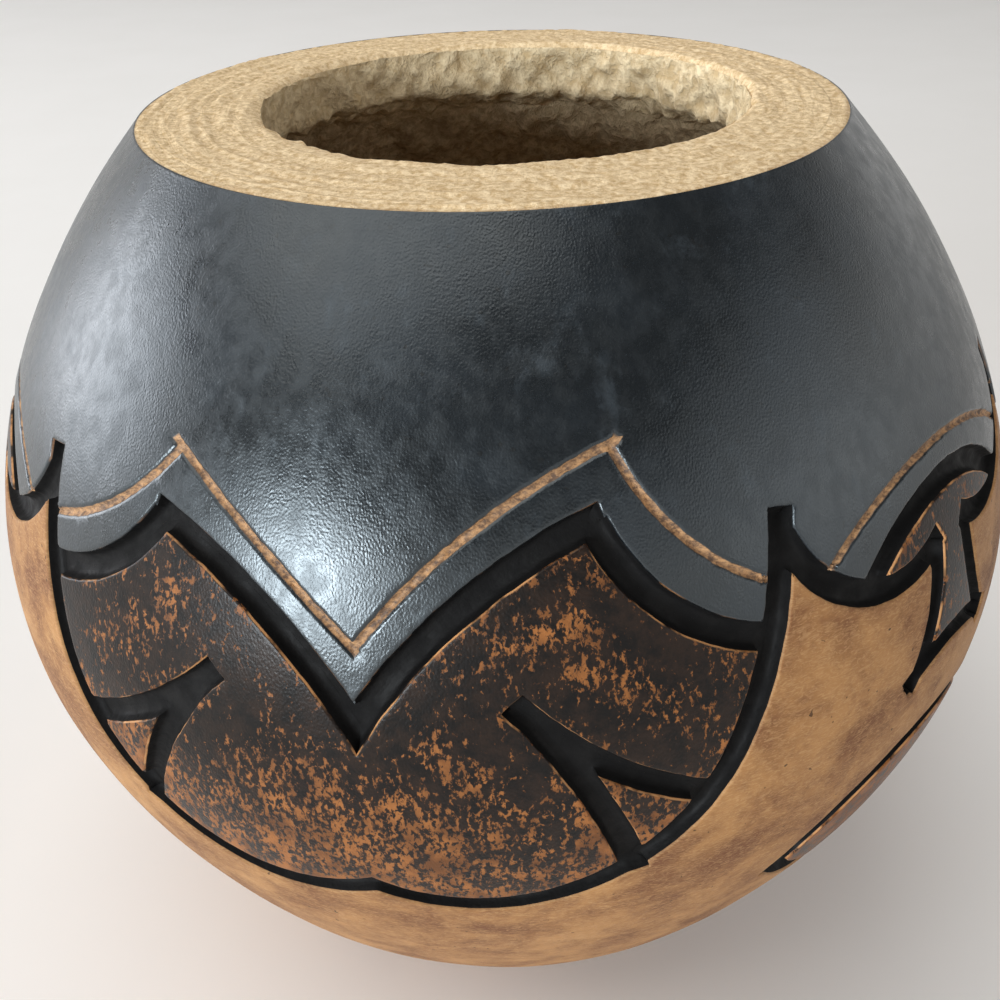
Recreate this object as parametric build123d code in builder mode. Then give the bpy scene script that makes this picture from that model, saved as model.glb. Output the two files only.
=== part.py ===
from build123d import *
import os
from math import cos, hypot, radians, sin, tan
from typing import NamedTuple

# Carved gourd bowl: a dried gourd sawn open at the top and levelled at the base.
# A hard rind lies over a thick fibrous wall. The gouge that draws the ornament goes right
# through the rind, so the rind stands on the wall as separate islands: a black shoulder,
# dark panels with small corners, arches and leaves, and the natural ground between them.
# Millimetres, +Z up, origin at the centre of the base, one carved panel facing -Y.

# The fruit
body_diameter = 151.0       # at the widest level
widest_height = 73.5        # of that level above the base
height = 134.0              # base to sawn rim
rim_diameter = 94.0         # outer edge of the sawn rim
rim_slope = 46.5            # degrees off level of the skin at the rim
heel_diameter = 114.8       # where the side turns under
heel_height = 24.3
heel_slope = 57.0           # degrees off level of the skin at the heel
base_cut = 4.0              # sanded off the fruit's round bottom to level it
wall_thickness = 10.2       # skin to pith, square to the skin
rind_thickness = 1.7        # hard outer layer of that wall
lip_height = 8.0            # of the thick lip that the scraping left round the mouth
lip_lean = 1.2              # of its face away from the axis over that height
lip_run = 9.0               # from there out and down to where it runs into the wall

# The cuts
bold_width = 3.2            # across a bold line at the skin
bold_floor = 2.0            # across its floor, where the fibrous wall shows
fine_width = 1.2            # across a fine line at the skin
fine_depth = 0.6            # of a fine line, which stays within the rind
reach = 1.5                 # of a cutter past the skin and past the rind's underside

# The ornament goes round the gourd in equal repeats. The two sides of a repeat mirror one
# another, apart from the lobes of its panel, of which the left one stands a little lower.
repeats = 3


class Spot(NamedTuple):
    """A place of the ornament, in shares of the fruit."""

    across: float           # 0 at the middle of a panel, 1 at the middle of the next arch
    down: float             # along the skin, 0 at the rim, 1 at the middle of the fruit's bottom


# Where the cuts begin, turn and end. A cut runs a little past the cut that it meets, as a
# gouge does.
vee_point = Spot(across=-0.020, down=0.3015)
scallop_end = Spot(across=0.590, down=0.2528)
ear =Spot(across=0.633, down=0.1812)
hip = Spot(across=0.467, down=0.3604)
lobe = Spot(across=0.248, down=0.4250)
notch = Spot(across=-0.020, down=0.4128)
upper_spur_start = Spot(across=0.213, down=0.2671)
upper_spur_end = Spot(across=0.498, down=0.3461)
lower_spur_start = Spot(across=0.237, down=0.2766)
lower_spur_end = Spot(across=0.390, down=0.4059)
swag_start = Spot(across=0.625, down=0.1940)
swag_end = Spot(across=0.965, down=0.2443)
skirt_start = Spot(across=0.950, down=0.2475)
skirt_end = Spot(across=0.872, down=0.3445)
hem_start = Spot(across=0.860, down=0.3402)
arch_start = Spot(across=0.767, down=0.2544)
leaf_top_start = Spot(across=0.663, down=0.4844)
leaf_bottom_start = Spot(across=0.673, down=0.4764)
echo_vee_start = Spot(across=-0.010, down=0.2427)
echo_scallop_end = Spot(across=0.607, down=0.2220)
arch_echo_start = Spot(across=0.698, down=0.2279)

# How far each cut bows off the straight way between its ends, in millimetres: towards the
# rim where it runs to the right, and to the right where it runs down
vee_bow = 4.0
side_bow = 2.0
upper_spur_bow = -1.4
lower_spur_bow = 1.4
swag_bow = -6.4
skirt_bow = 1.5
hem_bow = 3.0
arch_bow = 7.8
leaf_top_bow = 17.2
leaf_bottom_bow = -13.0
echo_scallop_bow = -2.2
arch_echo_bow = 7.4


class Lobe(NamedTuple):
    """The top of one side of a panel: its peak, the scallop after it and the echo of both."""

    peak: Spot
    scallop_start: Spot
    echo_peak: Spot
    echo_scallop_start: Spot
    scallop_bow: float
    echo_vee_bow: float


right_lobe = Lobe(
    peak=Spot(across=0.355, down=0.1665),
    scallop_start=Spot(across=0.338, down=0.1697),
    echo_peak=Spot(across=0.385, down=0.1275),
    echo_scallop_start=Spot(across=0.375, down=0.1296),
    scallop_bow=-2.8,
    echo_vee_bow=3.2,
)
left_lobe = Lobe(
    peak=Spot(across=0.350, down=0.1850),
    scallop_start=Spot(across=0.333, down=0.1882),
    echo_peak=Spot(across=0.330, down=0.1440),
    echo_scallop_start=Spot(across=0.320, down=0.1461),
    scallop_bow=-2.4,
    echo_vee_bow=1.0,
)

# One place on each kind of island, well inside it
shoulder_spot = Spot(across=0.08, down=0.06)
ground_spot = Spot(across=0.08, down=0.61)
panel_spot = Spot(across=0.05, down=0.355)
corner_spot = Spot(across=0.383, down=0.360)
arch_spot = Spot(across=0.983, down=0.275)
leaf_spot = Spot(across=0.95, down=0.477)

sector = 360 / repeats
arch_middle = sector / 2    # arches and leaves stand midway between two panels

front = Plane.XZ.rotated((0, 0, -90))                   # upright plane from the axis to -Y
panel_mirror = Plane.YZ                                 # through the middle of a panel
arch_mirror = Plane.YZ.rotated((0, 0, arch_middle))     # through the middle of an arch

# Stations of the fruit's half outline, from the rim down to the middle of its bottom:
# radius, height, and the direction in which the outline passes through
stations = (
    (rim_diameter / 2, height, -rim_slope),
    (body_diameter / 2, widest_height, -90),
    (heel_diameter / 2, heel_height, -180 + heel_slope),
    (0, -base_cut, -180),
)
headings = [(cos(radians(way)), sin(radians(way))) for _, _, way in stations]


def outline_points(depth):
    """The outline's stations, moved this deep under the skin."""
    return [
        (radius + depth * along[1], level - depth * along[0])
        for (radius, level, _), along in zip(stations, headings)
    ]


with BuildLine(Plane.XZ) as skin_line:
    Spline(*outline_points(0), tangents=headings)
skin = skin_line.edge()


def skin_point(spot):
    """A spot of the ornament in space."""
    at = skin.position_at(spot.down * skin.length, position_mode=PositionMode.LENGTH)
    turn = radians(spot.across * arch_middle)
    return Vector(at.X * sin(turn), -at.X * cos(turn), at.Z)


def skin_normal(spot):
    """The way straight out of the skin at a spot of the ornament."""
    along = skin.tangent_at(spot.down * skin.length, position_mode=PositionMode.LENGTH)
    turn = radians(spot.across * arch_middle)
    return Vector(-along.Z * sin(turn), along.Z * cos(turn), along.X)


def lip_section():
    """The section of the lip from the mouth's edge down, reaching back into the wall."""
    inner = outline_points(wall_thickness)[0]
    mouth = inner[0] - (height - inner[1]) / tan(radians(rim_slope))
    with BuildSketch() as section:
        with BuildLine():
            face = Line((mouth, height), (mouth + lip_lean, height - lip_height))
            under = PolarLine(face @ 1, lip_run, -rim_slope / 2)
            back = PolarLine(under @ 1, 2 * rind_thickness, rim_slope)
            Polyline(back @ 1, (inner[0], height), face @ 0)
        make_face()
    return section.sketch


def layer(outer, inner, turn, lip=False):
    """What lies between two depths under the skin, from the base to the rim, over a turn."""
    with BuildPart() as wedge:
        with BuildSketch(front):
            for depth, mode in ((outer, Mode.ADD), (inner, Mode.SUBTRACT)):
                with BuildLine():
                    side = Spline(*outline_points(depth), tangents=headings)
                    past_rim = PolarLine(side @ 0, 2 * wall_thickness, 180 - rim_slope)
                    Polyline(past_rim @ 1, (0, (past_rim @ 1).Y), side @ 1)
                make_face(mode=mode)
            Rectangle(body_diameter, height, align=Align.MIN, mode=Mode.INTERSECT)
            if lip:
                add(lip_section())
        revolve(axis=Axis.Z, revolution_arc=turn)
    return wedge.part


def bowed_middle(start, end, bow):
    """The middle of a cut that bows this far off the straight way."""
    across = (start.across + end.across) / 2
    down = (start.down + end.down) / 2
    radius = skin.position_at(down * skin.length, position_mode=PositionMode.LENGTH).X
    girth_share = radius * radians(arch_middle)
    run_across = (end.across - start.across) * girth_share
    run_down = (end.down - start.down) * skin.length
    run = hypot(run_across, run_down)
    return Spot(
        across=across + bow * run_down / run / girth_share,
        down=down - bow * run_across / run / skin.length,
    )


def cut(start, end, bow, section, onward=()):
    """What a gouge takes out along the skin, and on in a smooth curve over any further spots."""
    spots = (start, bowed_middle(start, end, bow), end, *onward)
    with BuildPart() as chip:
        with BuildLine():
            stroke = Spline if onward else ThreePointArc
            way = stroke(*(skin_point(spot) for spot in spots))
        ahead = way % 0
        side = skin_normal(start).cross(ahead)
        with BuildSketch(Plane(origin=way @ 0, x_dir=side, z_dir=ahead)):
            Polygon(*section, align=None)
        sweep()
    return chip.part


def over_the_arch(start, bow):
    """The ends and the bow of a cut that crosses an arch's middle to its mirror image."""
    return start, Spot(across=2 - start.across, down=start.down), bow


# Sections of the two kinds of cut, across the line and out of the skin
bold_lean = (bold_width - bold_floor) / 2 / rind_thickness
bold_top = bold_width / 2 + bold_lean * reach
bold_bottom = bold_floor / 2 - bold_lean * reach
bold_deep = rind_thickness + reach
bold = ((-bold_top, reach), (bold_top, reach), (bold_bottom, -bold_deep), (-bold_bottom, -bold_deep))
fine_top = fine_width / 2 * (fine_depth + reach) / fine_depth
fine = ((-fine_top, reach), (fine_top, reach), (0, -fine_depth))

common_cuts = [
    cut(ear, hip, side_bow, bold, onward=(lobe, notch)),
    cut(upper_spur_start, upper_spur_end, upper_spur_bow, bold),
    cut(lower_spur_start, lower_spur_end, lower_spur_bow, bold),
    cut(swag_start, swag_end, swag_bow, bold),
    cut(skirt_start, skirt_end, skirt_bow, bold),
    cut(*over_the_arch(hem_start, hem_bow), bold),
    cut(*over_the_arch(arch_start, arch_bow), bold),
    cut(*over_the_arch(leaf_top_start, leaf_top_bow), bold),
    cut(*over_the_arch(leaf_bottom_start, leaf_bottom_bow), bold),
    cut(*over_the_arch(arch_echo_start, arch_echo_bow), fine),
]


def carved_half(top):
    """Half a repeat of the rind, from the middle of a panel to the middle of an arch."""
    lobe_cuts = [
        cut(vee_point, top.peak, vee_bow, bold),
        cut(top.scallop_start, scallop_end, top.scallop_bow, bold),
        cut(echo_vee_start, top.echo_peak, top.echo_vee_bow, fine),
        cut(top.echo_scallop_start, echo_scallop_end, echo_scallop_bow, fine),
    ]
    with BuildPart() as half:
        add(layer(0, rind_thickness, arch_middle))
        for chip in lobe_cuts + common_cuts:
            add(chip, mode=Mode.SUBTRACT)
    print("half a repeat of the rind is in", len(half.solids()), "islands")
    return half


right_half = carved_half(right_lobe)
left_half = carved_half(left_lobe)      # built as a right one, and mirrored into its place


def island_at(half, spot):
    """The island of a half repeat that lies at a spot of the ornament."""
    return half.solids().sort_by_distance(skin_point(spot))[0]


def keep(piece, name):
    """Label a finished piece and write it to its own file."""
    piece.label = name
    export_step(piece, f"parts/{name}.step")


os.makedirs("parts", exist_ok=True)

# The fibrous wall: the bowl that carries everything, open at the mouth, with a thick lip there
with BuildPart() as fibre_wall:
    add(layer(rind_thickness, wall_thickness, 360, lip=True))
keep(fibre_wall.part, "fibre_wall")

# The shoulder and the ground go all the way round
for name, spot in (("shoulder_rind", shoulder_spot), ("ground_rind", ground_spot)):
    with BuildPart() as repeat:
        add(island_at(right_half, spot))
        mirror(island_at(left_half, spot), about=panel_mirror)
    with BuildPart() as ring:
        with PolarLocations(0, repeats):
            add(repeat.part)
    keep(ring.part, name)

# A panel and its two corners in each repeat
with BuildPart() as panel:
    add(island_at(right_half, panel_spot))
    mirror(island_at(left_half, panel_spot), about=panel_mirror)
with BuildPart() as right_corner:
    add(island_at(right_half, corner_spot))
with BuildPart() as left_corner:
    mirror(island_at(left_half, corner_spot), about=panel_mirror)

# An arch and a leaf between two repeats
with BuildPart() as arch:
    add(island_at(right_half, arch_spot))
    mirror(about=arch_mirror)
with BuildPart() as leaf:
    add(island_at(right_half, leaf_spot))
    mirror(about=arch_mirror)

for number in range(repeats):
    turned = Rot(0, 0, number * sector)
    for piece, kind in (
        (panel, "panel"), (right_corner, "right_corner"), (left_corner, "left_corner"),
        (arch, "arch"), (leaf, "leaf"),
    ):
        keep(turned * piece.part, f"{kind}_{number + 1}")
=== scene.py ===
# %% [markdown]
# # A carved gourd bowl
#
# A round gourd is dried until its shell is as hard as wood. The top is sawn off, the pith is
# scraped out, and an ornament is gouged through the hard rind into the fibre below.
# The frame gives the measured solids. Each one is dressed here with what the hand and the
# plant leave on the real thing: worn edges, gouge walls, saw marks, pith and stain.

# %% Load the frame
from itertools import product
from math import pi, radians

import bmesh
import bpy
import numpy as np
from mathutils import Matrix, Vector
from mathutils.geometry import delaunay_2d_cdt
from mathutils.kdtree import KDTree
from numpy.polynomial import Chebyshev


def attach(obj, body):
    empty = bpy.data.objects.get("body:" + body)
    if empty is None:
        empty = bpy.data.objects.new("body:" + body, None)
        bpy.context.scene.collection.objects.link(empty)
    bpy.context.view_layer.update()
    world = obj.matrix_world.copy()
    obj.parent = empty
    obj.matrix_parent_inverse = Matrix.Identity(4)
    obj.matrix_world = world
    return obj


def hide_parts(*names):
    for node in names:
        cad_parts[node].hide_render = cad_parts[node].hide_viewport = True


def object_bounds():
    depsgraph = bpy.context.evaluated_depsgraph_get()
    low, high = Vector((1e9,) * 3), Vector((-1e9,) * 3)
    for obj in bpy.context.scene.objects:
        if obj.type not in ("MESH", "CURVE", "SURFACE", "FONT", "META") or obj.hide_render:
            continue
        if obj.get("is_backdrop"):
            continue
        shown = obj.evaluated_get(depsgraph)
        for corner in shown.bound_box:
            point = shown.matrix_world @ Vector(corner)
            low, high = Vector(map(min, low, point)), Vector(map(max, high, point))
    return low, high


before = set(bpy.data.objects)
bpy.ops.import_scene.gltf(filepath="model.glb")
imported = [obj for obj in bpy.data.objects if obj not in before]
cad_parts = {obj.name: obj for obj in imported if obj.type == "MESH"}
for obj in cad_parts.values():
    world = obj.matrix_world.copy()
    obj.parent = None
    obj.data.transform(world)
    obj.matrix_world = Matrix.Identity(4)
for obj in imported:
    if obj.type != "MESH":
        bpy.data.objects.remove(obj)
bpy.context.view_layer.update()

MM = 0.001                      # the lesson counts in millimetres, the scene in metres
rind_nodes = [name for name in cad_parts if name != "fibre_wall"]
print("pieces in the frame:", len(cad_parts), "of which rind:", len(rind_nodes))

# %% [markdown]
# ## Reading the solids
#
# The carving is already measured in the solids, so nothing is drawn twice. The points that
# lie on one another along the edges of the faces are joined first, so that the outline of
# an island can be walked from point to point.

# %% Welded meshes of the solids
weld_gap = 2e-6                 # in metres; points that are closer than this are one


def welded(name):
    """The points, in millimetres, and the triangles of a solid."""
    mesh = bmesh.new()
    mesh.from_mesh(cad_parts[name].data)
    bmesh.ops.remove_doubles(mesh, verts=mesh.verts, dist=weld_gap)
    mesh.verts.index_update()
    points = np.array([v.co for v in mesh.verts]) / MM
    faces = np.array([[v.index for v in f.verts] for f in mesh.faces])
    mesh.free()
    return points, faces


solids = {name: welded(name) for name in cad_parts}
print("points read:", sum(len(points) for points, _ in solids.values()))

# %% [markdown]
# ## The skin as a curve turned about the axis
#
# A gourd is close to a turned form. The outermost points over the height give half of its
# outline, and a smooth curve through them says for any place on the skin how far it is from
# the axis and which way is out. A place is two numbers: the turn from the front, and the
# way down the skin from the rim, as a tape measure would give them.


# %% The half outline
def half_outline(points, band=0.25):
    """Radius and height of the outermost points, from the top down."""
    radius = np.hypot(points[:, 0], points[:, 1])
    bands = np.round(points[:, 2] / band).astype(int)
    order = np.lexsort((-radius, bands))
    outermost = order[np.unique(bands[order], return_index=True)[1]][::-1]
    chain = []
    for point in zip(radius[outermost], points[outermost, 2]):
        while len(chain) > 1 and bends_in(chain[-2], chain[-1], point):
            chain.pop()
        chain.append(point)
    return np.array(chain)


def bends_in(a, b, c):
    """Whether the way down over three points turns towards the axis and out again."""
    return (b[0] - a[0]) * (c[1] - b[1]) - (b[1] - a[1]) * (c[0] - b[0]) >= 0


curve_degree = 14               # of the smooth curves through the outline
outline = half_outline(np.vstack([solids[name][0] for name in rind_nodes]))
tape = np.concatenate(([0], np.cumsum(np.hypot(*np.diff(outline, axis=0).T))))
radius_curve = Chebyshev.fit(tape, outline[:, 0], curve_degree)
level_curve = Chebyshev.fit(tape, outline[:, 1], curve_degree)
radius_slope, level_slope = radius_curve.deriv(), level_curve.deriv()
skin_length = tape[-1]
rim_level, base_level = outline[0, 1], outline[-1, 1]
print(f"skin from rim to base {skin_length:.1f} mm, widest radius {outline[:, 0].max():.2f} mm")


# %% Places on the skin
def skin(down):
    """Radius, height and the way out (radial and upward) of the skin."""
    dr, dz = radius_slope(down), level_slope(down)
    size = np.hypot(dr, dz)
    return radius_curve(down), level_curve(down), -dz / size, dr / size


def way_out(turn, down):
    """The way out of the skin in space."""
    _, _, out_r, out_z = skin(down)
    return np.stack((out_r * np.sin(turn), -out_r * np.cos(turn), out_z), -1)


stations = np.linspace(0, skin_length, 700)
points_at_once = 20000          # are measured at a time, to spare memory


def locate(points):
    """Turn, way down and depth under the skin of points in space."""
    turn = np.arctan2(points[:, 0], -points[:, 1])
    radius, level = np.hypot(points[:, 0], points[:, 1]), points[:, 2]
    at_r, at_z, _, _ = skin(stations)
    down = np.empty(len(points))
    for part in np.array_split(np.arange(len(points)), len(points) // points_at_once + 1):
        away = (radius[part, None] - at_r) ** 2 + (level[part, None] - at_z) ** 2
        down[part] = stations[away.argmin(1)]
    for _ in range(2):
        at_r, at_z, out_r, out_z = skin(down)
        down = np.clip(down + (radius - at_r) * out_z - (level - at_z) * out_r, 0, skin_length)
    at_r, at_z, out_r, out_z = skin(down)
    return turn, down, (at_r - radius) * out_r + (at_z - level) * out_z


# %% [markdown]
# ## Chance, but the same every time
#
# Nothing that grew or was cut by hand is exact. Soft random bumps on a lattice stand for
# that everywhere below: at 30 mm they make the fruit uneven, at 3 mm a gouge line wavers
# and the pith is lumpy, and under 1 mm they are torn ends of fibre. The seed is fixed, so
# each run gives the same gourd.

# %% Soft random bumps
chance = np.random.default_rng(8)
bump_table = chance.uniform(-1, 1, 8192)
shuffle = np.array((73856093, 19349663, 83492791))     # primes that scatter the lattice cells
bump_origin = 500.5             # in cells; it lies far outside the gourd


def bumps(points, size):
    """Soft bumps from -1 to 1, about this far apart, at points in space."""
    grid = points / size + bump_origin
    cell = np.floor(grid).astype(np.int64)
    within = grid - cell
    within = within * within * (3 - 2 * within)
    total = np.zeros(len(points))
    for corner in product((0, 1), repeat=3):
        key = (cell + corner) @ shuffle
        share = np.where(corner, within, 1 - within).prod(1)
        total += bump_table[(key ^ (key >> 13)) % len(bump_table)] * share
    return total


def layered(points, layers):
    """Bumps of several sizes added up. A layer is a height and a size."""
    return sum(height * bumps(points, size) for height, size in layers)


uneven_fruit = ((0.22, 31.0), (0.06, 9.0))
uneven_edge = 14.0              # the fruit is true where it was sawn, and uneven from there on


def place(turn, down, depth=0.0):
    """Points in space, in millimetres, at a depth under the uneven skin of the fruit."""
    radius, level, out_r, out_z = skin(down)
    bare = np.stack((radius * np.sin(turn), -radius * np.cos(turn), level), -1)
    fade = np.clip(np.minimum(down, skin_length - down) / uneven_edge, 0, 1)
    uneven = fade * layered(bare, uneven_fruit)
    return bare + way_out(turn, down) * (uneven - depth)[:, None]


# %% [markdown]
# ## A flat map of the skin
#
# To lay a net of triangles over an island, its outline is first drawn on a flat map. Like a
# sailor's chart, this map stretches but keeps angles, so good triangles on the map are good
# triangles on the gourd. The base is at the middle of the map and the rim goes round it.

# %% The map
steps = np.diff(stations) / ((skin(stations)[0][1:] + skin(stations)[0][:-1]) / 2)
shrink = np.concatenate(([0], np.cumsum(steps)))
widest = radius_curve(stations).argmax()
map_radius = radius_curve(stations[widest]) * np.exp(shrink[widest] - shrink)
spots_at_once = 4000            # are measured at a time, to spare memory


def on_map(turn, down):
    """Places of the skin on the flat map."""
    radius = np.interp(down, stations, map_radius)
    return np.stack((radius * np.sin(turn), -radius * np.cos(turn)), -1)


def inside(spots, rings):
    """Which spots of the map lie inside the closed rings, holes left out."""
    odd = np.zeros(len(spots), bool)
    for ring in rings:
        after = np.roll(ring, -1, axis=0)
        for part in np.array_split(np.arange(len(spots)), len(spots) // spots_at_once + 1):
            x, y = spots[part, 0, None], spots[part, 1, None]
            spans = (ring[:, 1] > y) != (after[:, 1] > y)
            rise = np.where(after[:, 1] == ring[:, 1], 1, after[:, 1] - ring[:, 1])
            crossing = ring[:, 0] + (y - ring[:, 1]) * (after[:, 0] - ring[:, 0]) / rise
            odd[part] ^= (spans & (x < crossing)).sum(1) % 2 == 1
    return odd


# %% [markdown]
# ## Finding the outlines
#
# The faces of a rind solid that look outward are its skin. Where they stop, the gouge or the
# saw went through, and the stopping edges chain up into closed rings. Fine lines only scratch
# the rind: their lowest points form a valley, which is kept as a row of short edges.

# %% Rings and valleys of an island
rind = float(np.percentile(locate(solids["panel_1"][0])[2], 90))
facing_out = 0.5                # how nearly a face of the skin looks the way the skin does
facing_up = 0.99                # faces that look straight up or down were sawn
skin_share, valley_share = 0.5, 0.2     # of the rind: the skin ends, a valley begins
print(f"rind {rind:.2f} mm thick")


def rings_and_valley(name):
    """The closed edges of an island's skin, and the edges at the bottom of its fine lines."""
    points, faces = solids[name]
    turn, down, depth = locate(points)
    corners = points[faces]
    normal = np.cross(corners[:, 1] - corners[:, 0], corners[:, 2] - corners[:, 0])
    normal /= np.maximum(np.linalg.norm(normal, axis=1), 1e-12)[:, None]
    middle_turn, middle_down, _ = locate(corners.mean(1))
    outward = (normal * way_out(middle_turn, middle_down)).sum(1) > facing_out
    level = np.abs(normal[:, 2]) > facing_up
    shown = faces[outward & ~level & (depth[faces].max(1) < skin_share * rind)]
    ways = {(a, b) for f in shown.tolist() for a, b in ((f[0], f[1]), (f[1], f[2]), (f[2], f[0]))}
    onward = {a: b for a, b in ways if (b, a) not in ways}
    rings = []
    while onward:
        first, here = onward.popitem()
        ring = [first]
        while here in onward:
            ring.append(here)
            here = onward.pop(here)
        if here == first:
            rings.append(points[ring])
    low = depth > valley_share * rind
    valley = [(points[a], points[b]) for a, b in ways if a < b and low[a] and low[b]]
    return rings, valley


# %% [markdown]
# ## Cutting a ring into even steps
#
# The rings of the solids have long steps on straight runs and short ones on bends. Even
# steps give even triangles. Sharp corners are kept, because a gouge leaves them where two
# strokes cross.

# %% Even steps along a ring
same_point = 0.06               # points of a ring that are closer than this are one


def even_steps(ring, step, corner=25.0):
    """The same ring in even steps between its sharp corners."""
    ring = ring[np.linalg.norm(np.roll(ring, -1, axis=0) - ring, axis=1) > same_point]
    after = np.roll(ring, -1, axis=0) - ring
    before = ring - np.roll(ring, 1, axis=0)
    turn = (after * before).sum(1) / np.linalg.norm(after, axis=1) / np.linalg.norm(before, axis=1)
    sharp = np.flatnonzero(turn < np.cos(radians(corner)))
    first = sharp[0] if len(sharp) else 0
    walk = np.vstack((np.roll(ring, -first, axis=0), ring[first]))
    stops = np.append((sharp - first) % len(ring), len(ring)) if len(sharp) else (0, len(ring))
    pieces = []
    for a, b in zip(stops[:-1], stops[1:]):
        run = walk[a:b + 1]
        way = np.concatenate(([0], np.cumsum(np.linalg.norm(np.diff(run, axis=0), axis=1))))
        marks = np.linspace(0, way[-1], max(1, round(way[-1] / step)) + 1)[:-1]
        pieces.append(np.stack([np.interp(marks, way, run[:, axis]) for axis in range(3)], -1))
    return np.vstack(pieces)


def inward(ring):
    """At each point of a ring, the way along the skin into the island."""
    turn, down, _ = locate(ring)
    ahead = np.roll(ring, -1, axis=0) - np.roll(ring, 1, axis=0)
    side = np.cross(way_out(turn, down), ahead)
    for _ in range(2):
        side /= np.linalg.norm(side, axis=1)[:, None]
        side = side + (np.roll(side, 1, axis=0) + np.roll(side, -1, axis=0)) / 2
    return side / np.linalg.norm(side, axis=1)[:, None]


# %% Measuring along and between points
saw_slack = 0.5                 # a ring that rises less than this was sawn


def finder(marks):
    """A tree of the marks that finds the nearest ones quickly."""
    tree = KDTree(len(marks))
    for number, mark in enumerate(marks):
        tree.insert(mark, number)
    tree.balance()
    return tree


def distance(points, marks):
    """How far each point is from the nearest of the marks."""
    tree = finder(marks)
    return np.array([tree.find(point)[2] for point in points])


def apart(points, gap):
    """The points without those that lie closer than a gap to an earlier one."""
    tree = finder(points)
    first = [min(number for _, number, _ in tree.find_range(point, gap)) for point in points]
    return points[np.array(first) == np.arange(len(points))]


def along(starts, ends, step):
    """Points along straight edges, no further apart than a step."""
    marks = []
    for a, b in zip(starts, ends):
        count = int(np.ceil(np.linalg.norm(b - a) / step))
        marks.append(a + (b - a) * (np.arange(count) / max(count, 1))[:, None])
    return np.vstack(marks)


def within(points, ring_maps):
    """Which points lie on the island that has these rings on the map."""
    spots = on_map(*locate(points)[:2])
    edge_map = np.vstack(ring_maps)
    found = ((spots > edge_map.min(0)) & (spots < edge_map.max(0))).all(1)
    found[found] = inside(spots[found], ring_maps)
    return found


def sawn(ring):
    """Whether a ring is the edge left by the saw or the sander."""
    return np.ptp(ring[:, 2]) < saw_slack


# %% [markdown]
# ## The points of an island
#
# An island is a plate of rind with a worn upper edge, a gouged wall and an underside on the
# fibre. Its skin is a net of triangles: rows of points close along the edge, where it rounds
# over, an open lattice further in, and rows along any fine line. Each gouged edge wavers a
# little, as a pushed gouge does.

# %% Rings and their edges
ring_step = 0.42                # between the points along an edge
mark_step = 0.08                # between the marks that distances are measured from
smallest_ring = 8.0             # across; what is smaller is the end of a fine line
gouge_waver = ((0.09, 2.6), (0.05, 0.9))        # how the edge of a pushed gouge strays


def walked(name):
    """The rings of an island in even steps, the ways in from them, and its valley edges."""
    rings, valley = rings_and_valley(name)
    large = [ring for ring in rings if np.linalg.norm(np.ptp(ring, axis=0)) > smallest_ring]
    rings = [even_steps(ring, ring_step) for ring in large]
    sides = [inward(ring) for ring in rings]
    for ring, side in zip(rings, sides):
        if not sawn(ring):
            ring += side * layered(ring, gouge_waver)[:, None]
    return rings, sides, valley


def edge_marks(rings):
    """Points close together along the gouged edges, and along each sawn one."""
    marks = [along(ring, np.roll(ring, -1, 0), mark_step) for ring in rings]
    gouged = np.vstack([m for m, ring in zip(marks, rings) if not sawn(ring)])
    return gouged, [m for m, ring in zip(marks, rings) if sawn(ring)]


# %% Rows by the edge, and the open lattice
edge_rows = (0.07, 0.16, 0.28, 0.62)    # in from the edge
row_keeps = 0.85                # of its distance, or else a row point is too near another edge
row_ratio = 0.87                # of the spacing, between shifted rows of even triangles
scatter = 0.12                  # of the spacing, so that the lattice doesn't show
scatter_radius = 70.0           # at which a turn in radians is measured in millimetres
field_clear = 0.9               # between the edge and the open lattice


def rows_by_edge(rings, sides, edges, ring_maps):
    """Rows of points along the edges, where the rind rounds over."""
    rows = np.vstack([r + s * gap for r, s in zip(rings, sides) for gap in edge_rows])
    wanted = np.concatenate([np.full(len(r), gap) for r in rings for gap in edge_rows])
    return rows[(distance(rows, edges) > row_keeps * wanted) & within(rows, ring_maps)]


def lattice(low, high, spacing):
    """Turn and way down of points all over the skin between two levels, in shifted rows."""
    rows = []
    for number, down in enumerate(np.arange(low, high, spacing * row_ratio)):
        count = round(2 * pi * radius_curve(down) / spacing)
        turn = (np.arange(count) + 0.5 * (number % 2)) * 2 * pi / count - pi
        rows.append(np.stack((turn, np.full(count, down)), -1))
    grid = np.vstack(rows)
    loose = chance.uniform(-scatter, scatter, grid.shape) * spacing
    return grid + loose / (scatter_radius, 1.0)


def open_field(rings, edges, ring_maps, spacing):
    """Points all over the skin of an island, clear of its edges."""
    reach = locate(np.vstack(rings))[1]
    field = place(*lattice(reach.min(), reach.max(), spacing).T)
    field = field[within(field, ring_maps)]
    return field[distance(field, edges) > field_clear]


# %% Rows along a fine line
fine_reach = 0.6                # from the middle of a fine line to its edge
fine_depth = 0.55
fine_step, bottom_step = 0.4, 0.1
strip_gap, strip_clear = 0.12, 0.3      # between its points, and from the edges
strip_reach = 1.1               # from the middle of the line to the open lattice
fine_rows = (-0.9, -0.62, -0.42, -0.2, 0.0, 0.2, 0.42, 0.62, 0.9)


def fine_strip(valley, edges, ring_maps):
    """Points along the bottom of the fine lines, and rows on both sides of it."""
    starts, ends = (np.array(side) for side in zip(*valley))
    bottom, middle = along(starts, ends, bottom_step), along(starts, ends, fine_step)
    counts = np.ceil(np.linalg.norm(ends - starts, axis=1) / fine_step).astype(int)
    ahead = np.repeat(ends - starts, counts, 0)
    across = np.cross(way_out(*locate(middle)[:2]), ahead / np.linalg.norm(ahead, axis=1)[:, None])
    strip = apart(np.vstack([middle + across * row for row in fine_rows]), strip_gap)
    return bottom, strip[(distance(strip, edges) > strip_clear) & within(strip, ring_maps)]


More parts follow.
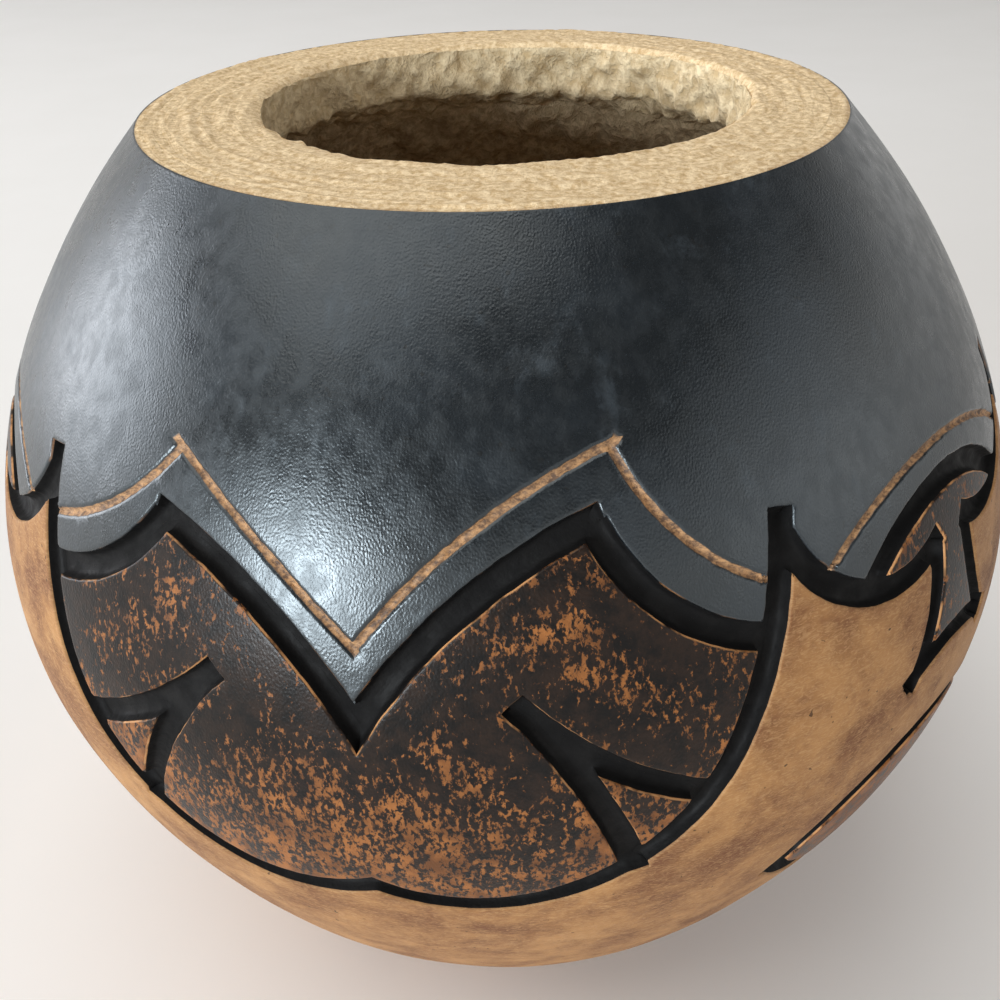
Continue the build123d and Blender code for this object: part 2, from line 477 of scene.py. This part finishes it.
# %% The net over the points
def net_over(name, cloud, rings, ring_maps):
    """Triangles between the points of an island, kept to the inside of its rings."""
    ends = np.cumsum([len(ring) for ring in rings])
    links = [(i, i + 1) for i in range(ends[-1])]
    for ring, last in zip(rings, ends):
        links[last - 1] = (last - 1, last - len(ring))
    spots = on_map(*locate(cloud)[:2])
    _, _, net, origin, _, _ = delaunay_2d_cdt([Vector(s) for s in spots], links, [], 0, 1e-6)
    source = np.array([o[0] if o else -1 for o in origin])
    net = source[np.array(net)][:, ::-1]
    if (source < 0).any():
        print(name, "has crossing edges:", (source < 0).sum())
        net = net[(net >= 0).all(1)]
    doubtful = (net < ends[-1]).all(1)
    doubtful[doubtful] = ~inside(spots[net[doubtful]].mean(1), ring_maps)
    return net[~doubtful]


# %% [markdown]
# ## Gouge and saw
#
# A gouge is rounded, so the wall of a groove leans out and runs into its floor in a hollow
# curve. Where the fruit was sawn, the cut goes level through the rind, and the saw leaves
# arcs round the axis and torn ends of fibre.

# %% Depth of the carving
edge_round = 0.28               # radius of the worn edge along a groove
saw_round = 0.15                # the same along a sawn edge
line_waver = ((0.22, 0.8),)     # how the reach of a fine line strays, as a share of it
mean_chatter, tool_chatter = 0.85, ((0.3, 0.55),)      # its depth, as a share of the whole
line_steep = 1.5                # above 1, a fine line has a flat bottom


def rounded(gap, radius):
    """How far a worn edge has gone down, this far in from the edge."""
    missing = np.clip(radius - gap, 0, radius)
    return radius - np.sqrt(radius ** 2 - missing ** 2)


def carved_depth(cloud, gouged, cut_off, bottom):
    """How deep the points lie, how far they are from a gouged edge, and in a fine line."""
    gap = distance(cloud, gouged)
    depth = rounded(gap, edge_round)
    for marks in cut_off:
        depth = np.maximum(depth, rounded(distance(cloud, marks), saw_round))
    fine = np.zeros(len(cloud))
    if bottom is not None:
        rough = fine_reach * (1 + layered(cloud, line_waver))
        fine = np.clip(1 - distance(cloud, bottom) / rough, 0, 1)
        chatter = mean_chatter + layered(cloud, tool_chatter)
        depth = np.maximum(depth, fine_depth * np.minimum(1, line_steep * fine) * chatter)
    return depth, gap, fine


# %% Saw marks
saw_arcs = ((0.30, 1.0, 4.0), (0.10, 0.36, 9.0))       # height, width, breaks round the axis
arc_stray = ((0.6, 11.0),)      # of the arcs from true circles
mean_bite, bite_change = 0.55, ((0.45, 26.0),)         # the share of their height
torn_ends = ((0.09, 0.8), (0.05, 0.45))                # of the fibre


def saw_marks(points):
    """How far the sawn face stands up or down: arcs round the axis, and torn fibre ends."""
    radius = np.hypot(points[:, 0], points[:, 1])
    around = points[:, :2] / np.maximum(radius, 1)[:, None]
    strayed = radius + layered(points, arc_stray)
    bite = mean_bite + layered(points, bite_change)
    arcs = sum(height * bumps(np.column_stack((strayed / width, around * breaks)), 1.0)
               for height, width, breaks in saw_arcs)
    return bite * arcs + layered(points, torn_ends)


# %% Walls of an island
gouge_wall = ((0.06, 0.55), (0.14, 0.88), (0.24, 1.16), (0.38, 1.39), (0.57, 1.54),
              (0.82, 1.64), (1.12, 1.69), (1.42, 1.715))        # out from the edge, and deep
tool_shake, shake_size = 0.05, 0.9      # of the gouge, down to where its floor begins
shake_lift = 9                  # times the depth, so that each row shakes in its own way
floor_begins = 1.5
saw_shares = np.linspace(0.15, 1, 7)    # of the way over the sawn rind


def wall_rows(ring, side):
    """Rows of points down from an edge: the gouged wall, or the sawn face of the rind."""
    if not sawn(ring):
        rows = []
        for out, deep in gouge_wall:
            shaken = bumps(ring + (0, 0, shake_lift * deep), shake_size)
            shake = tool_shake * shaken * (deep < floor_begins)
            rows.append(place(*locate(ring - side * out)[:2], deep + shake))
        return rows
    out = ring * (1, 1, 0) / np.hypot(ring[:, 0], ring[:, 1])[:, None]
    width = rind / skin(locate(ring)[1])[2]
    rows = [ring - out * (share * width)[:, None] for share in saw_shares]
    for row in rows:
        row[:, 2] = np.round(ring[:, 2].mean())
        if row[0, 2] > rind:
            row[:, 2] += saw_marks(row)
    return rows


# %% Build an island
SKIN, GOUGED, SAWN, UNDER = range(4)    # kinds of face, in the order of the island's finishes
mark_reach = 6                  # the distance from an edge is counted up to here


def island(name, spacing):
    """A rind island as points, faces with their kind, and what its stain needs to know."""
    rings, sides, valley = walked(name)
    gouged, cut_off = edge_marks(rings)
    edges = np.vstack([gouged, *cut_off])
    ring_maps = [on_map(*locate(ring)[:2]) for ring in rings]
    field, bottom = open_field(rings, edges, ring_maps, spacing), None
    if valley:
        bottom, strip = fine_strip(valley, edges, ring_maps)
        field = np.vstack((field[distance(field, bottom) > strip_reach], strip))
    cloud = np.vstack((*rings, rows_by_edge(rings, sides, edges, ring_maps), field))
    net = net_over(name, cloud, rings, ring_maps)
    turn, down, _ = locate(cloud)
    depth, gap, fine = carved_depth(cloud, gouged, cut_off, bottom)
    points, faces, kinds = [place(turn, down, depth)], [net], [np.full(len(net), SKIN)]
    feet, total, start = [], len(cloud), 0
    for ring, side in zip(rings, sides):
        above = np.arange(start, start + len(ring))
        for row in wall_rows(ring, side):
            below = np.arange(total, total + len(ring))
            points.append(row)
            faces.append(np.stack((above, below, np.roll(below, -1), np.roll(above, -1)), -1))
            kinds.append(np.full(len(ring), SAWN if sawn(ring) else GOUGED))
            above, total = below, total + len(ring)
        feet.append(above)
        start += len(ring)
    under = np.concatenate((*feet, np.arange(total, total + len(cloud) - start)))
    points.append(place(turn[start:], down[start:], np.full(len(cloud) - start, rind)))
    faces.append(under[net][:, ::-1])
    kinds.append(np.full(len(net), UNDER))
    return np.vstack(points), faces, kinds, {"edge": np.clip(gap, 0, mark_reach), "fine": fine}


# %% [markdown]
# ## From points to a piece
#
# Every piece is made the same way: points, faces, one finish for each kind of face, and the
# marks that the stain reads, such as how near a point is to a carved edge. Where two faces
# turn sharply away from each other, the edge between them stays crisp.

# %% Make a piece
crisp_angle = 58                # degrees between the ways that two faces look


def make_piece(name, points, faces, kinds, marks, finishes):
    """A Blender piece that stands for the solid of the same name."""
    mesh = bpy.data.meshes.new(name)
    mesh.from_pydata((points * MM).tolist(), [], [f for group in faces for f in group.tolist()])
    mesh.polygons.foreach_set("material_index", np.concatenate(kinds))
    mesh.polygons.foreach_set("use_smooth", np.ones(len(mesh.polygons), bool))
    for mark, values in marks.items():
        padded = np.zeros(len(points), np.float32)
        padded[:len(values)] = values
        mesh.attributes.new(mark, "FLOAT", "POINT").data.foreach_set("value", padded)
    for finish in finishes:
        mesh.materials.append(finish)
    mesh.update()
    mesh.set_sharp_from_angle(angle=radians(crisp_angle))
    piece = bpy.data.objects.new(name + "_dressed", mesh)
    bpy.context.scene.collection.objects.link(piece)
    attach(piece, "root")
    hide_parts(name)
    print(piece.name, "has", sum(len(group) * (group.shape[1] - 2) for group in faces), "triangles")
    return piece


# %% [markdown]
# ## Finishes
#
# Stain, polish, raw fibre and pith are node materials. They are mixed from soft noise at the
# scale of the real thing, read in object space so that no seam shows. The marks on the
# points tell them where an edge is worn or a line is scratched.


# %% Colours and nodes
def srgb(red, green, blue):
    """A colour as the eye counts it, from 0 to 255, as the renderer counts it."""
    shares = np.array((red, green, blue)) / 255
    linear = np.where(shares > 0.04045, ((shares + 0.055) / 1.055) ** 2.4, shares / 12.92)
    return (*linear.tolist(), 1.0)


def new_finish(name, **fixed):
    """A new material, its node tree and its shader, with the values that are the same all over."""
    material = bpy.data.materials.new(name)
    material.use_nodes = True
    shader = material.node_tree.nodes["Principled BSDF"]
    for socket, value in fixed.items():
        shader.inputs[socket.replace("_", " ")].default_value = value
    return material, material.node_tree, shader


def add(tree, kind, inputs, **settings):
    """A node with its settings, and its inputs linked or set."""
    node = tree.nodes.new("ShaderNode" + kind)
    for setting, value in settings.items():
        setattr(node, setting, value)
    for socket, value in inputs.items():
        if isinstance(value, bpy.types.NodeSocket):
            tree.links.new(value, node.inputs[socket])
        else:
            node.inputs[socket].default_value = value
    return node


# %% Places and noise
def object_space(tree, squeeze=(1.0, 1.0, 1.0)):
    """Places in object space, in metres, squeezed along the axes to draw out a grain."""
    spot = add(tree, "TexCoord", {}).outputs["Object"]
    return add(tree, "Mapping", {"Vector": spot, "Scale": squeeze}).outputs["Vector"]


def height_of(tree):
    """Height above the base, in metres."""
    return add(tree, "SeparateXYZ", {0: object_space(tree)}).outputs["Z"]


def noise(tree, spot, size, detail=3.0, roughness=0.55, twist=0.0):
    """Soft noise from 0 to 1 with forms about this many millimetres across."""
    inputs = {"Vector": spot, "Scale": 0.6 / (size * MM), "Detail": detail, "Roughness": roughness,
              "Distortion": twist}
    return add(tree, "TexNoise", inputs).outputs["Fac"]


def mark(tree, name):
    """A mark that the points carry."""
    return add(tree, "Attribute", {}, attribute_name=name).outputs["Fac"]


# %% Mixing
def ramp(tree, value, low, high, to_low=0.0, to_high=1.0):
    """The value carried smoothly from one range into another."""
    inputs = {"Value": value, "From Min": low, "From Max": high,
              "To Min": to_low, "To Max": to_high}
    return add(tree, "MapRange", inputs, interpolation_type="SMOOTHSTEP").outputs["Result"]


def sums(tree, *values):
    """The values added up."""
    total = values[0]
    for value in values[1:]:
        total = add(tree, "Math", {0: total, 1: value}, operation="ADD").outputs[0]
    return total


def times(tree, one, other):
    """Two values multiplied."""
    return add(tree, "Math", {0: one, 1: other}, operation="MULTIPLY").outputs[0]


def blend(tree, share, low, high):
    """A colour between two colours."""
    return add(tree, "Mix", {0: share, 6: low, 7: high}, data_type="RGBA").outputs[2]


def dress(tree, shader, colour, roughness, height, depth):
    """Link what changes over the surface: colour, gloss, and relief this many millimetres deep."""
    bump = add(tree, "Bump", {"Height": height, "Distance": depth * MM})
    tree.links.new(colour, shader.inputs["Base Color"])
    tree.links.new(roughness, shader.inputs["Roughness"])
    tree.links.new(bump.outputs["Normal"], shader.inputs["Normal"])


# %% [markdown]
# ### The black shoulder
#
# Blue-black stain, polished by hands. The polish follows the fine grain of the rind, so a
# glint breaks up into sparks: that takes low roughness on a fine relief, not high roughness.
# The fine lines go through the stain into tan rind, crossed by the chatter of the tool.


# %% Black stain
def black_stain():
    """Polished blue-black stain with scuffs, specks and tan fine lines."""
    material, tree, shader = new_finish("black_stain", Specular_IOR_Level=0.95,
                                        Specular_Tint=(0.86, 0.95, 1.0, 1.0))
    spot = object_space(tree)
    cloud = noise(tree, spot, 9.0, 5.0, 0.6)
    stain = blend(tree, ramp(tree, cloud, 0.35, 0.7), srgb(7, 11, 15), srgb(19, 25, 31))
    scuffs = noise(tree, object_space(tree, (1, 1, 0.4)), 2.6, 6.0, 0.68)
    scuffs = ramp(tree, scuffs, 0.54, 0.78, 0.0, 0.30)
    stain = blend(tree, scuffs, stain, srgb(70, 79, 87))
    specks = ramp(tree, noise(tree, spot, 0.55, 0.0), 0.79, 0.83)
    stain = blend(tree, specks, stain, srgb(5, 5, 6))
    by_edge = ramp(tree, mark(tree, "edge"), 0.03, 0.20, 0.8, 0.0)
    worn = times(tree, by_edge, ramp(tree, noise(tree, spot, 3.0), 0.52, 0.66))
    stain = blend(tree, worn, stain, srgb(140, 98, 62))
    flecks = ramp(tree, noise(tree, object_space(tree, (1, 1, 1.6)), 0.6, 4.0, 0.75), 0.34, 0.66)
    fine = ramp(tree, mark(tree, "fine"), 0.15, 0.35)
    colour = blend(tree, fine, stain, blend(tree, flecks, srgb(88, 60, 37), srgb(188, 142, 94)))
    dull = noise(tree, object_space(tree, (1, 1, 0.6)), 1.2, 4.0, 0.65)
    dull = ramp(tree, dull, 0.36, 0.66, -0.02, 0.09)
    polish = ramp(tree, cloud, 0.3, 0.7, 0.25, 0.32)
    gloss = sums(tree, polish, dull, times(tree, scuffs, 0.3), times(tree, fine, 0.4))
    grain = noise(tree, object_space(tree, (1, 1, 0.7)), 0.14, 0.5)
    swell = noise(tree, spot, 2.6, 1.0)
    dress(tree, shader, colour, gloss, sums(tree, grain, times(tree, swell, 0.25)), 0.032)
    return material


# %% [markdown]
# ### The mottled islands
#
# Dark stain was rubbed off while wet, so the orange rind shows through in specks that run
# together into streaks down the fruit. Specks, streaks and patches are three sizes of noise
# added up. The tops of the panels stay dark, and cut edges are rubbed bare in a thin line.


# %% Mottled stain
def mottled_stain():
    """Dark stain rubbed through to orange rind in specks, streaks and patches."""
    material, tree, shader = new_finish("mottled_stain", Specular_IOR_Level=0.25)
    spot = object_space(tree)
    specks = noise(tree, object_space(tree, (1, 1, 0.6)), 0.38, 4.0, 0.66, 0.3)
    streaks = noise(tree, object_space(tree, (1, 1, 0.4)), 1.2, 3.0, 0.6)
    patches = noise(tree, object_space(tree, (1, 1, 0.6)), 12.0, 2.0)
    edge = mark(tree, "edge")
    by_edge = ramp(tree, edge, 1.0, 9.0, -0.17, 0.0)
    dark_top = times(tree, ramp(tree, height_of(tree), 0.072, 0.086), by_edge)
    rubbed = ramp(tree, edge, 0.2, 2.0, 0.07, 0.0)
    spread = sums(tree, times(tree, streaks, 0.4), times(tree, patches, 0.3))
    bare = sums(tree, specks, spread, dark_top, rubbed)
    bare = ramp(tree, bare, 0.795, 0.90)
    warm = ramp(tree, noise(tree, spot, 2.0, 4.0), 0.3, 0.7)
    orange = blend(tree, warm, srgb(98, 59, 29), srgb(152, 96, 49))
    thin = ramp(tree, noise(tree, spot, 1.5, 5.0, 0.7), 0.35, 0.65)
    dark = blend(tree, thin, srgb(11, 8, 7), srgb(36, 24, 17))
    at_edge = ramp(tree, edge, 0.04, 0.2, 1.0, 0.0)
    pale = times(tree, at_edge, ramp(tree, noise(tree, spot, 2.4), 0.42, 0.6))
    colour = blend(tree, pale, blend(tree, bare, dark, orange), srgb(200, 146, 96))
    gloss = sums(tree, ramp(tree, patches, 0.3, 0.7, 0.28, 0.38), times(tree, bare, 0.12))
    grain = noise(tree, object_space(tree, (1, 1, 0.7)), 0.16, 0.5)
    dress(tree, shader, colour, gloss, sums(tree, grain, times(tree, bare, -0.35)), 0.036)
    return material


# %% [markdown]
# ### The natural ground
#
# Unstained rind looks like pale wood: clouds of brown, short combed fibres, and a few dark
# specks where the skin was bruised while the fruit grew.


# %% Natural rind
def natural_rind():
    """The gourd's own tan rind, clouded and combed with fibres, under a thin polish."""
    material, tree, shader = new_finish("natural_rind", Specular_IOR_Level=0.2)
    spot = object_space(tree)
    clouds = noise(tree, spot, 6.0, 6.0, 0.62, 0.4)
    tan = blend(tree, ramp(tree, clouds, 0.34, 0.66), srgb(114, 74, 48), srgb(170, 124, 77))
    blotches = ramp(tree, noise(tree, spot, 1.9, 5.0, 0.68), 0.48, 0.74, 0.0, 0.55)
    tan = blend(tree, blotches, tan, srgb(120, 78, 51))
    fibres = noise(tree, object_space(tree, (0.6, 0.6, 2.0)), 0.5, 4.0, 0.65, 2.0)
    tan = blend(tree, ramp(tree, fibres, 0.44, 0.68, 0.0, 0.5), tan, srgb(194, 154, 108))
    bruises = ramp(tree, noise(tree, spot, 0.5, 0.0), 0.82, 0.85, 0.0, 0.8)
    tan = blend(tree, bruises, tan, srgb(58, 36, 22))
    worn = ramp(tree, mark(tree, "edge"), 0.03, 0.2, 0.15, 0.0)
    colour = blend(tree, worn, tan, srgb(214, 176, 130))
    gloss = ramp(tree, clouds, 0.3, 0.7, 0.62, 0.52)
    dress(tree, shader, colour, gloss, sums(tree, fibres, times(tree, clouds, 0.5)), 0.045)
    return material


# %% [markdown]
# ### Cut surfaces
#
# The gouged lines are painted black and dull. The sawn rim is pale straw, granular and ringed
# by the saw. Inside, the pith is as pale as the rim on the lip and browner below it: partly its
# own colour, partly painted shade of the hollow.


# %% Blackened cuts
def blackened_cut():
    """Dull black in the grooves, a little furry with cut fibre."""
    material, tree, shader = new_finish("blackened_cut", Specular_IOR_Level=0.18)
    spot = object_space(tree)
    colour = blend(tree, noise(tree, spot, 1.2, 4.0, 0.7), srgb(7, 7, 8), srgb(21, 20, 20))
    gloss = ramp(tree, noise(tree, spot, 2.0), 0.3, 0.7, 0.55, 0.8)
    dress(tree, shader, colour, gloss, noise(tree, spot, 0.5, 3.0), 0.10)
    return material


# %% Sawn fibre
def sawn_fibre():
    """Pale fibre on the sawn rim, granular, with faint rings and a browner line at the rind."""
    material, tree, shader = new_finish("sawn_fibre", Specular_IOR_Level=0.2)
    spot = object_space(tree)
    level_spot = object_space(tree, (1, 1, 0))
    radius = add(tree, "VectorMath", {0: level_spot}, operation="LENGTH").outputs["Value"]
    shaken = sums(tree, radius, times(tree, noise(tree, spot, 6.0, 4.0), 0.003))
    rings = add(tree, "TexNoise", {"W": shaken, "Scale": 900.0, "Detail": 4.0, "Roughness": 0.7},
                noise_dimensions="1D").outputs["Fac"]
    grains = noise(tree, spot, 0.55, 4.0, 0.72)
    straw = blend(tree, ramp(tree, grains, 0.3, 0.7), srgb(200, 169, 123), srgb(252, 229, 190))
    straw = blend(tree, ramp(tree, rings, 0.5, 0.72, 0.0, 0.25), straw, srgb(176, 142, 96))
    at_rind = ramp(tree, shaken, 0.0477, 0.0486, 0.0, 0.35)
    colour = blend(tree, at_rind, straw, srgb(146, 106, 66))
    gloss = ramp(tree, grains, 0.3, 0.7, 0.8, 0.95)
    dress(tree, shader, colour, gloss, sums(tree, grains, times(tree, rings, 0.4)), 0.26)
    return material


# %% Pith
def bare_pith():
    """Scraped pith: pale and crumbly on the lip, browner further down, partly as painted shade."""
    material, tree, shader = new_finish("bare_pith", Specular_IOR_Level=0.1)
    spot = object_space(tree)
    shaken = sums(tree, height_of(tree), times(tree, noise(tree, spot, 5.0, 4.0), 0.010))
    # Deeper in the hollow the pith turns browner: partly its own colour, partly painted shade.
    deep = ramp(tree, shaken, 0.122, 0.134, 1.0, 0.0)
    crumbs = ramp(tree, noise(tree, spot, 1.0, 4.0, 0.7), 0.3, 0.7)
    pale = blend(tree, crumbs, srgb(206, 180, 138), srgb(250, 230, 192))
    # brown: the pith's own lower colour, darkened with painted shade of the hollow.
    brown = blend(tree, crumbs, srgb(160, 136, 106), srgb(218, 194, 158))
    colour = blend(tree, deep, pale, brown)
    dress(tree, shader, colour, ramp(tree, crumbs, 0.0, 1.0, 0.85, 1.0), crumbs, 0.30)
    return material


black, mottled, natural = black_stain(), mottled_stain(), natural_rind()
cut, fibre, pith = blackened_cut(), sawn_fibre(), bare_pith()
print("finishes:", [finish.name for finish in (black, mottled, natural, cut, fibre, pith)])

# %% [markdown]
# ## Dressing the rind
#
# The shoulder and the ground go all the way round; panels, corners, arches and leaves are
# islands in between. The ground has the widest lattice, because it is plain and large.

# %% Rind pieces
island_finish = {"shoulder_rind": (black, "black_rind"), "ground_rind": (natural, "natural_rind")}
spacing, wide_spacing = 1.3, 1.7        # of the open lattice
for name in rind_nodes:
    stain, slot = island_finish.get(name, (mottled, "mottled_rind"))
    shape = island(name, wide_spacing if name == "ground_rind" else spacing)
    piece = make_piece(name, *shape, [stain, cut, fibre, fibre])

# %% [markdown]
# ## The fibre wall
#
# Under the rind is the thick wall of the fruit, soft as balsa. Its outside shows only at the
# floor of the grooves. Its top is the sawn rim, and its inside was scraped with a spoon, which
# leaves lumps of pith, lower ones on the floor of the hollow. The wall is one turned mesh:
# rows of points round the axis, from the middle of the base up the outside, over the rim and
# down the inside.

# %% Profile of the wall
wall_points = solids["fibre_wall"][0]
wall_radius = np.hypot(wall_points[:, 0], wall_points[:, 1])
level_slack = 0.01              # points this near a level are on it
on_rim = wall_points[:, 2] > rim_level - level_slack
on_base = wall_points[:, 2] < base_level + level_slack
rim_outer, mouth_radius = wall_radius[on_rim].max(), wall_radius[on_rim].min()
foot_radius = wall_radius[on_base].max()
deep_in = locate(wall_points)[2] > 3 * rind     # so deep lie only points of the hollow
hollow = np.unique(np.round(np.stack((wall_radius, wall_points[:, 2]), -1)[deep_in], 3), axis=0)
hollow = hollow[np.argsort(np.arctan2(hollow[:, 0], hollow[:, 1] - rim_level / 2))]
hollow_tape = np.concatenate(([0], np.cumsum(np.linalg.norm(np.diff(hollow, axis=0), axis=1))))
print(f"rim {mouth_radius:.1f} to {rim_outer:.1f} mm, foot {foot_radius:.1f} mm")
print(f"the inside is {hollow_tape[-1]:.0f} mm long by tape")

# %% Rows of the outside
columns = 560
base_count, outer_count, rim_count = 6, 40, 40  # rows of each kind
hub_radius, edge_clear = 2.0, 6.0       # of the first row of the base, and from base to outside
turns = np.arange(columns) * 2 * pi / columns - pi
ring_of = np.stack((np.sin(turns), -np.cos(turns), np.zeros(columns)), -1)
upright = np.array((0.0, 0.0, 1.0))
base_radii = np.linspace(hub_radius, foot_radius, base_count)
base_rows = [ring_of * radius + upright * base_level for radius in base_radii]
ways_up = np.linspace(skin_length - edge_clear, 0, outer_count)
outer_rows = [place(turns, np.full(columns, down), rind) for down in ways_up]

# %% Rows of the rim
mouth_shift = np.array((1.2, 3.4, 0.0))     # the hand-cut mouth isn't quite in the middle
mouth_oval = 0.5                            # nor quite round: wider to the left and right
oval_turn = radians(102)
knife_waver = ((0.35, 13.0), (0.15, 5.0))
crumbles_from, crumble_depth = 0.86, 0.7    # the share of the rim, and how far it crumbles
mean_crumb, crumb_size = 1.3, 2.2           # as a share of that depth, and across


def off_true(row):
    """How the hand-cut edge of the mouth departs from a true circle."""
    waver = layered(row, knife_waver)
    return mouth_shift + ring_of * (mouth_oval * np.cos(2 * (turns - oval_turn)) + waver)[:, None]


rim_rows = []
for share in np.linspace(0, 1, rim_count):
    row = ring_of * (rim_outer + (mouth_radius - rim_outer) * share) + upright * rim_level
    row = row + off_true(row) * share ** 1.5
    near_mouth = np.clip((share - crumbles_from) / (1 - crumbles_from), 0, 1)
    crumble = crumble_depth * near_mouth ** 2 * (mean_crumb + bumps(row, crumb_size))
    rim_rows.append(row + upright * (saw_marks(row) - crumble)[:, None])

# %% Rows of the inside
true_again = 26.0               # from here down the inside is round and in the middle
lumps_whole = 3.0               # from here down the lumps have their whole height
wall_ends = 44.0                # from here down it is the floor of the hollow
floor_lumps = 0.6               # the share of their height that the lumps keep there
lip_steps, wall_steps = np.arange(0.7, 19, 0.55), np.arange(19.6, wall_ends, 1.0)
floor_steps = np.linspace(wall_ends + 1, hollow_tape[-1] - 1.5, 28)
tape_marks = np.concatenate((lip_steps, wall_steps, floor_steps))
section = np.stack([np.interp(tape_marks, hollow_tape, hollow[:, axis]) for axis in (0, 1)], -1)
for _ in range(3):
    section[1:-1] = (section[:-2] + 2 * section[1:-1] + section[2:]) / 4
lie = np.gradient(section, axis=0)
lie /= np.linalg.norm(lie, axis=1)[:, None]


spoon_crumbs, spoon_waves = ((0.95, 2.6), (0.5, 1.3)), ((0.35, 6.0),)


def pith_lumps(row):
    """Crumbs, drawn out upward, and waves that the spoon left, in millimetres."""
    return layered(row * (1.0, 1.0, 0.7), spoon_crumbs) + layered(row, spoon_waves)


hollow_rows = []
for at, (radius, level), (run_r, run_z) in zip(tape_marks, section, lie):
    row = ring_of * radius + upright * level
    row = row + off_true(row) * np.clip(1 - at / true_again, 0, 1)
    lumps = pith_lumps(row) * min(1, at / lumps_whole) * (1.0 if at < wall_ends else floor_lumps)
    hollow_rows.append(row + (ring_of * run_z - upright * run_r) * lumps[:, None])

# %% The wall's mesh
sections = (base_rows, outer_rows, rim_rows, hollow_rows)
rows = [row for group in sections for row in group]
points = np.vstack((*rows, base_level * upright, hollow[-1, 1] * upright))
last_of = np.cumsum([len(group) for group in sections])
here, ahead = np.arange(columns), (np.arange(columns) + 1) % columns
finish_of = (0, 1, 0, 2)        # fibre below, black in the grooves, fibre on the rim, pith inside
faces, kinds = [], []
for number in range(len(rows) - 1):
    low, high = number * columns, (number + 1) * columns
    faces.append(np.stack((low + here, low + ahead, high + ahead, high + here), -1))
    group = np.searchsorted(last_of, number + 1, side="right")
    kinds.append(np.full(columns, finish_of[group]))
top_row = (len(rows) - 1) * columns
faces.append(np.stack((np.full(columns, len(points) - 2), ahead, here), -1))
faces.append(np.stack((top_row + here, top_row + ahead, np.full(columns, len(points) - 1)), -1))
kinds += [np.full(columns, finish_of[0]), np.full(columns, finish_of[-1])]
wall = make_piece("fibre_wall", points, faces, kinds, {}, [fibre, cut, pith])

# %% [markdown]
# ## Light, floor and camera
#
# Two soft lamps low on the left draw the long glints on the black shoulder. A wide one
# overhead and a weak one on the right fill the shadows. The floor is plain pale paper. The
# camera stands close, a little to the right of the front panel, looking down into the mouth.


# %% Soft lamps
def soft_lamp(name, turn, distance, height, size, power, colour):
    """A soft lamp that faces the gourd: turn in degrees, lengths in metres, power in watts."""
    light = bpy.data.lights.new(name, "AREA")
    light.shape, light.size, light.size_y = "RECTANGLE", size[0], size[1]
    light.energy, light.color = power, colour
    lamp = bpy.data.objects.new(name, light)
    lamp.location = (distance * np.sin(radians(turn)), -distance * np.cos(radians(turn)), height)
    aim = Vector((0, 0, rim_level * MM / 2)) - lamp.location
    lamp.rotation_euler = aim.to_track_quat("-Z", "Y").to_euler()
    bpy.context.scene.collection.objects.link(lamp)


soft_lamp("left_lamp", -92, 2.2, 0.53, (1.36, 0.98), 20.4, (0.92, 0.94, 1.0))
soft_lamp("front_lamp", -28, 2.4, 0.34, (0.84, 0.88), 52.0, (0.88, 0.95, 1.0))
soft_lamp("top_lamp", -75, 0.5, 1.5, (1.8, 1.8), 17.6, (1.0, 0.97, 0.93))
soft_lamp("right_lamp", 80, 1.6, 0.6, (1.4, 1.0), 2.0, (0.97, 0.98, 1.0))

# %% Floor and sky
floor_mesh = bpy.data.meshes.new("floor")
far = 1.8                       # from the middle to each side of the floor, in metres
floor_corners = [(-far, -far, 0), (far, -far, 0), (far, far, 0), (-far, far, 0)]
floor_mesh.from_pydata(floor_corners, [], [(0, 1, 2, 3)])
floor = bpy.data.objects.new("floor", floor_mesh)
bpy.context.scene.collection.objects.link(floor)
floor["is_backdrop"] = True
paper, tree, shader = new_finish("pale_paper", Roughness=0.9, Specular_IOR_Level=0.1)
shade = blend(tree, noise(tree, object_space(tree), 40.0), srgb(245, 244, 242), srgb(250, 249, 248))
tree.links.new(shade, shader.inputs["Base Color"])
floor_mesh.materials.append(paper)

world = bpy.data.worlds.new("sky")
bpy.context.scene.world = world
world.use_nodes = True
tree = world.node_tree
tree.nodes.clear()
which_way = add(tree, "TexCoord", {}).outputs["Generated"]
upward = add(tree, "SeparateXYZ", {0: which_way}).outputs["Z"]
glow = ramp(tree, upward, 0.14, 0.5, 0.92, 0.16)       # pale all round, and dimmer overhead
sky = add(tree, "Background", {"Color": srgb(252, 250, 247), "Strength": glow})
tree.links.new(sky.outputs[0], add(tree, "OutputWorld", {}).inputs["Surface"])

# %% Camera
camera_turn = 12.6              # degrees to the right of the front panel
camera_reach = 154.77           # from the axis, in millimetres
camera_height = 170.21          # above the floor, in millimetres
camera_pitch = 33.309           # degrees down
camera_yaw = 0.197              # degrees to the left of the axis
camera_roll = -1.811
lens = bpy.data.cameras.new("camera")
lens.sensor_width, lens.lens, lens.clip_start = 36.0, 39.6, 0.01
camera = bpy.data.objects.new("camera", lens)
out = Vector((np.sin(radians(camera_turn)), -np.cos(radians(camera_turn)), 0)) * camera_reach
stand = Matrix.Translation((out + Vector((0, 0, camera_height))) * MM)
look = Matrix.Rotation(radians(camera_turn + camera_yaw), 4, "Z")
tilt = Matrix.Rotation(radians(90 - camera_pitch), 4, "X")
roll = Matrix.Rotation(radians(camera_roll), 4, "Z")
camera.matrix_world = stand @ look @ tilt @ roll
bpy.context.scene.collection.objects.link(camera)
bpy.context.scene.camera = camera
bpy.context.scene.view_settings.view_transform = "Standard"

low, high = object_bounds()
print("visual box", [round(v / MM, 1) for v in (*low, *high)])
